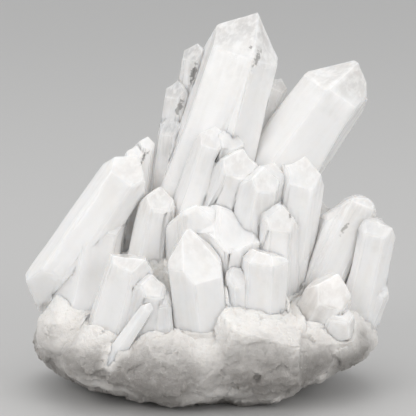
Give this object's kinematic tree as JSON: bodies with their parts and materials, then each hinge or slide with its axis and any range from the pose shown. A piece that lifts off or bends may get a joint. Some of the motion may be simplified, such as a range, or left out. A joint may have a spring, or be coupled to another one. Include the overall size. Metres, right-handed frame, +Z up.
{
  "type": "quartz crystal cluster",
  "caption": "Loose hand-size cluster of milky quartz points grown from one rough quartz block with a flat resting face.",
  "frame": {"origin": "middle of the flat patch that the block rests on", "axes": "+Z up, +X to the right and -Y to the front as the picture shows it"},
  "size_m": [0.118, 0.0884, 0.1199],
  "materials": {
    "milky_quartz": "glossy natural crystal faces, milky white, clearer towards the tips",
    "rough_quartz": "rough sugary quartz, matt with small glints"
  },
  "bodies": {
    "root": {"matrix": "rough_quartz", "front_crystal": "milky_quartz", "front_right_crystal": "milky_quartz", "blade_crystal": "milky_quartz", "front_left_crystal": "milky_quartz", "right_front_crystal": "milky_quartz", "center_crystal": "milky_quartz", "inner_left_crystal": "milky_quartz", "left_crystal": "milky_quartz", "slender_crystals": "milky_quartz", "middle_right_crystal": "milky_quartz", "right_low_crystal": "milky_quartz", "right_outer_crystal": "milky_quartz", "tall_crystal": "milky_quartz", "right_crystal": "milky_quartz", "back_crystal": "milky_quartz", "back_left_crystal": "milky_quartz", "back_right_crystal": "milky_quartz", "back_low_left_crystal": "milky_quartz", "back_low_crystal": "milky_quartz", "back_low_right_crystal": "milky_quartz"}
  },
  "joints": []
}
